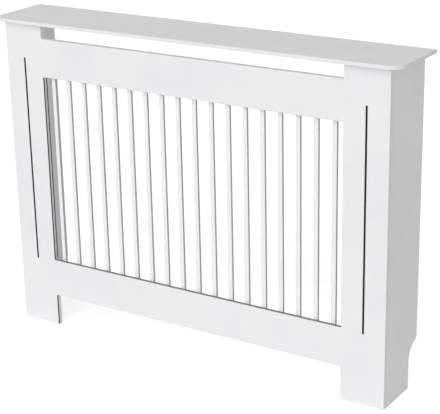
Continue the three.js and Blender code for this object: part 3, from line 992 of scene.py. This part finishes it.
def plate_shell(sizes, starts, end):
    """One face of a corner plate: a square with its far corner rounded and a hole. It starts at
    starts across and up, where it meets its neighbours and has no arris."""
    start, foot = starts
    small = 2 * sizes.steel_arris
    outline = Outline(
        [
            (start, foot, SQUARE, 1),
            (end, foot, small, CORNER_STEPS),
            (end, end, sizes.plate_round, LARGE_ARC_STEPS),
            (start, end, small, CORNER_STEPS),
        ]
    )
    from_joint = (outline.points - np.array(starts)).min(axis=1)
    ease = fading(sizes.steel_arris, from_joint, small)
    rings, sideways, _ = thickened(outline, 0, sizes.steel, ease, ease)
    shell = Shell()
    numbers = shell.add_rings(rings, sideways)
    hole = Hole((sizes.plate_hole, sizes.plate_hole), sizes.hole / 2)
    bore = hole.bore(shell, 0, sizes.steel, sizes.steel_arris)
    places = (starts, (end, end))
    ties = [(nearest(outline.points, place), nearest(hole.points, place)) for place in places]
    for ring, step in ((0, -1), (-1, 1)):
        shell.add_holed(numbers[ring], bore[ring], *ties, step)
    return shell


def cross_recess(turn, arm, half_width):
    """How far a cross reaches from its middle in a direction: to the end of the nearest arm, which
    is arm over the cosine of the angle from that arm, or to its side, which is the half width over
    the sine, whichever is less."""
    from_arm = np.abs((turn + np.pi / 4) % (np.pi / 2) - np.pi / 4)
    return np.minimum(arm / np.cos(from_arm), half_width / np.maximum(np.sin(from_arm), 1e-9))


def screw_shell(sizes, head_radius, whole):
    """A pan-head screw with a cross recess. The flat of its head is at nought, and its point is
    along the third axis.

    Round the axis, points bunch at the corners of the cross. The head is a quarter of an ellipse
    turned round the axis, and its rings pass from the cross to the rim. Along the shank, the radius
    is the core's plus the tooth's height times the square of a triangle wave, which runs up and
    down once for each pitch and lags by one pitch a turn. Over the point, it is shrunk evenly.
    """
    arm, half_width = sizes.recess / 2, sizes.recess_width / 2
    corner = math.atan2(half_width, arm)
    eighth = np.append(np.linspace(0, corner, 3), np.linspace(corner, np.pi / 4, 4)[1:])
    quarter = np.append(eighth, np.pi / 2 - eighth[-2:0:-1])
    turn = (np.arange(4)[:, None] * np.pi / 2 + quarter).ravel()
    cross = cross_recess(turn, arm, half_width)

    dome = cross + (head_radius - cross) * DOME_RINGS[:, None]
    rise = -sizes.head * np.sqrt(np.clip(1 - (dome / head_radius) ** 2, 0, 1))
    pit = RECESS_RINGS[:, :1] * cross
    depth = np.broadcast_to(sizes.recess_depth * RECESS_RINGS[:, 1:] - sizes.head, pit.shape)

    shank = whole - sizes.head
    along = np.linspace(0, shank, int(THREAD_STEPS * shank / sizes.pitch))[:, None]
    wave = 1 - np.abs(2 * ((along / sizes.pitch - turn / (2 * np.pi)) % 1) - 1)
    radius = (sizes.core + (sizes.shank - sizes.core) * wave**2) / 2
    radius = radius * np.clip((shank - along) / sizes.point, TIP, 1)

    radii = np.vstack([pit, dome, radius])
    heights = np.vstack([depth, rise, np.broadcast_to(along, radius.shape)])
    return capped(np.dstack([radii * np.cos(turn), radii * np.sin(turn), heights]))


def dowel_shell(sizes, radius, whole):
    """A fluted dowel along the third axis, from nought. Round the axis, the radius drops by the
    flute's depth times the fourth power of the cosine of FLUTES / 2 times the angle."""
    turn = np.linspace(0, 2 * np.pi, FLUTE_STEPS * FLUTES, endpoint=False)
    along = np.array([0, sizes.chamfer, 1.5 * sizes.chamfer])
    along = np.append(along, whole - along[::-1])[:, None]
    chamfer = np.array([sizes.chamfer, 0, 0, 0, 0, sizes.chamfer])[:, None]
    radii = radius - chamfer - sizes.flute * np.cos(FLUTES / 2 * turn) ** 4
    heights = np.broadcast_to(along, radii.shape)
    return capped(np.dstack([radii * np.cos(turn), radii * np.sin(turn), heights]))


def make_steel(name, shell, node):
    """Makes a steel fitting that stands for its CAD node."""
    zinc = material_named("zinc_plated_steel")
    return make_piece(name, shell, zinc, [node])


class MakeBrackets(bpy.types.Operator):
    """Makes the angle brackets, bent from strip with round ends"""

    bl_idname = "radiator_cover.make_brackets"
    bl_label = "Brackets"

    def execute(self, context):
        sizes = context.scene.cover_fittings
        for kind, second in SECOND_LEG.items():
            for side, inward in INWARD_LEG.items():
                node = f"{kind}_{side}"
                low, high = (np.array(corner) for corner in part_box(node))
                width = np.cross(inward, second)
                across = abs((high - low) @ width)
                shell = bracket_shell(sizes, abs((high - low) @ inward), across)
                corner = corner_of(node, inward, second)
                directions = np.array([inward, second, width])
                make_steel(f"{node}_strip", shell.placed(directions, corner), node)
        return {"FINISHED"}


class MakeCornerPlates(bpy.types.Operator):
    """Makes the three-way corner plates, each of three faces that meet in one corner"""

    bl_idname = "radiator_cover.make_corner_plates"
    bl_label = "Corner plates"

    def execute(self, context):
        sizes = context.scene.cover_fittings
        back, down = np.array([0, 1, 0]), np.array([0, 0, -1])
        for side, inward in INWARD_LEG.items():
            node = f"corner_plate_{side}"
            low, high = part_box(node)
            end, steel = high.x - low.x, sizes.steel
            corner = corner_of(node, inward, back, down)
            on_stile = plate_shell(sizes, (0, 0), end)
            on_panel = plate_shell(sizes, (steel, 0), end)
            on_shelf = plate_shell(sizes, (steel, steel), end)
            plate = on_stile.placed(np.array([inward, down, back]), corner)
            plate.join(on_panel.placed(np.array([back, down, inward]), corner))
            plate.join(on_shelf.placed(np.array([inward, back, down]), corner))
            make_steel(f"{node}_pressing", plate, node)
        return {"FINISHED"}


class MakeScrews(bpy.types.Operator):
    """Makes the pan-head screws, with a cross recess and a thread"""

    bl_idname = "radiator_cover.make_screws"
    bl_label = "Screws"

    def execute(self, context):
        sizes = context.scene.cover_fittings
        for node in [name for name in NODES if "_screw_" in name]:
            into = self.way(node)
            low, high = (np.array(corner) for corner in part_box(node))
            aside = np.array([0, 1, 0]) if into[0] else np.array([1, 0, 0])
            shell = screw_shell(sizes, (high - low) @ aside / 2, abs((high - low) @ into))
            seat = corner_of(node, into) + sizes.head * into
            directions = np.array([aside, np.cross(into, aside), into])
            make_steel(f"{node}_turned", shell.placed(directions, seat), node)
        return {"FINISHED"}

    @staticmethod
    def way(node):
        """The way a screw goes: forward, up, or outward, by the board that it goes into."""
        if node.endswith("_stile"):
            return np.array([0, -1, 0])
        if node.endswith("_top_shelf"):
            return np.array([0, 0, 1])
        return -INWARD_LEG["left" if "_left_" in node else "right"]


class MakeDowels(bpy.types.Operator):
    """Makes the fluted beech dowels that join the rails to the stiles"""

    bl_idname = "radiator_cover.make_dowels"
    bl_label = "Dowels"

    def execute(self, context):
        sizes = context.scene.cover_fittings
        directions = np.array([[0, 1, 0], [0, 0, 1], [1, 0, 0]])
        for node in [name for name in NODES if name.startswith("dowel")]:
            low, high = (np.array(corner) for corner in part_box(node))
            shell = dowel_shell(sizes, (high - low)[2] / 2, (high - low)[0])
            end = corner_of(node, directions[2])
            beech = material_named("turned_beech")
            make_piece(f"{node}_fluted", shell.placed(directions, end), beech, [node])
        return {"FINISHED"}


# ---------------------------------------------------------------- stage


def seen_directly(tree):
    """One for rays that come from the camera, a reflection or glass, and nought for the rest."""
    rays = add_node(tree, "ShaderNodeLightPath").outputs
    total = rays["Is Camera Ray"]
    for ray in ("Is Glossy Ray", "Is Transmission Ray"):
        settings = {"operation": "MAXIMUM"}
        total = add_node(tree, "ShaderNodeMath", settings, {0: total, 1: rays[ray]}).outputs[0]
    return total


class MakeStage(bpy.types.Operator):
    """Makes the floor, the light and the camera"""

    bl_idname = "radiator_cover.make_stage"
    bl_label = "Stage"

    def execute(self, context):
        studio = context.scene.cover_studio
        self.floor(studio)
        self.sky(context.scene, studio)
        self.lamp("key_lamp", studio.key, studio.key_angle, studio.key_from)
        fill = self.lamp("fill_lamp", studio.fill, studio.fill_angle, studio.fill_from)
        # It lies low behind the shelf, which would throw its glare at the camera.
        fill.visible_glossy = False
        self.camera(context.scene, studio)
        context.scene.view_settings.view_transform = "Standard"
        return {"FINISHED"}

    @staticmethod
    def floor(studio):
        """A plain floor that the camera sees as white, but for the object's shadow."""
        half = studio.floor_size / 2
        mesh = bpy.data.meshes.new("floor")
        corners = [(-half, -half, 0), (half, -half, 0), (half, half, 0), (-half, half, 0)]
        mesh.from_pydata(corners, [], [(0, 1, 2, 3)])
        floor = bpy.data.objects.new("floor", mesh)
        bpy.context.scene.collection.objects.link(floor)
        material, tree, _ = blank_material("pale_floor")
        matt = {"Color": bpy.context.scene.cover_finish.floor}
        diffuse = add_node(tree, "ShaderNodeBsdfDiffuse", inputs=matt)
        seen = seen_directly(tree)
        glow = ranged(tree, seen, 0, studio.floor_glow)
        emission = add_node(tree, "ShaderNodeEmission", inputs={"Strength": glow})
        inputs = {0: diffuse.outputs[0], 1: emission.outputs[0]}
        finished(tree, add_node(tree, "ShaderNodeAddShader", inputs=inputs))
        mesh.materials.append(material)

    @staticmethod
    def sky(scene, studio):
        """Even light from all round, which looks white where it is seen directly."""
        world = bpy.data.worlds.new("studio")
        world.use_nodes = True
        tree = world.node_tree
        tree.nodes.clear()
        strength = ranged(tree, seen_directly(tree), studio.sky, 1.0)
        light = add_node(
            tree, "ShaderNodeBackground", inputs={"Color": (1, 1, 1, 1), "Strength": strength}
        )
        add_node(tree, "ShaderNodeOutputWorld", inputs={"Surface": light.outputs[0]})
        scene.world = world

    @staticmethod
    def lamp(name, energy, angle, direction):
        """One wide soft lamp that shines from a direction."""
        light = bpy.data.lights.new(name, "SUN")
        light.energy, light.angle = energy, angle
        lamp = bpy.data.objects.new(name, light)
        lamp.rotation_euler = Vector(direction).to_track_quat("Z", "Y").to_euler()
        bpy.context.scene.collection.objects.link(lamp)
        return lamp

    @staticmethod
    def camera(scene, studio):
        """The camera at the photograph's viewing angle."""
        yaw, pitch, roll = studio.camera_yaw, studio.camera_pitch, studio.camera_roll
        forward = Vector(
            (
                -math.sin(yaw) * math.cos(pitch),
                math.cos(yaw) * math.cos(pitch),
                math.sin(pitch),
            )
        )
        right = forward.cross(Vector((0, 0, 1))).normalized()
        up = right.cross(forward)
        tilted = math.cos(roll) * right + math.sin(roll) * up
        upright = math.cos(roll) * up - math.sin(roll) * right
        lens = bpy.data.cameras.new("camera")
        lens.lens, lens.sensor_width = studio.focal_length, 36
        lens.clip_end = 100
        camera = bpy.data.objects.new("camera", lens)
        turn = Matrix((tilted, upright, -forward)).transposed()
        camera.matrix_world = Matrix.Translation(studio.camera_place) @ turn.to_4x4()
        scene.collection.objects.link(camera)
        scene.camera = camera


# ---------------------------------------------------------------- add-on

OPERATORS = (
    MakeShelf,
    MakeSidePanels,
    MakeStiles,
    MakeRails,
    MakeSlats,
    MakeBrackets,
    MakeCornerPlates,
    MakeScrews,
    MakeDowels,
    MakeStage,
)


class CoverPanel(bpy.types.Panel):
    """Lists what makes the radiator cover"""

    bl_idname = "VIEW3D_PT_radiator_cover"
    bl_label = "Radiator cover"
    bl_space_type = "VIEW_3D"
    bl_region_type = "UI"
    bl_category = "Radiator cover"

    def draw(self, context):
        for operator in OPERATORS:
            self.layout.operator(operator.bl_idname)
        for label, group in GROUPS.items():
            for name in group.__annotations__:
                self.layout.prop(getattr(context.scene, label), name)


CLASSES = (*GROUPS.values(), *OPERATORS, CoverPanel)


def register():
    """Adds the classes, and hangs the groups of settings on the scene."""
    for each in CLASSES:
        bpy.utils.register_class(each)
    for label, group in GROUPS.items():
        setattr(bpy.types.Scene, label, PointerProperty(type=group))


def unregister():
    """Takes away what register added."""
    for label in GROUPS:
        delattr(bpy.types.Scene, label)
    for each in reversed(CLASSES):
        bpy.utils.unregister_class(each)


def main():
    """Makes everything in order."""
    register()
    for operator in OPERATORS:
        section, name = operator.bl_idname.split(".")
        getattr(getattr(bpy.ops, section), name)()


if __name__ == "__main__":
    main()
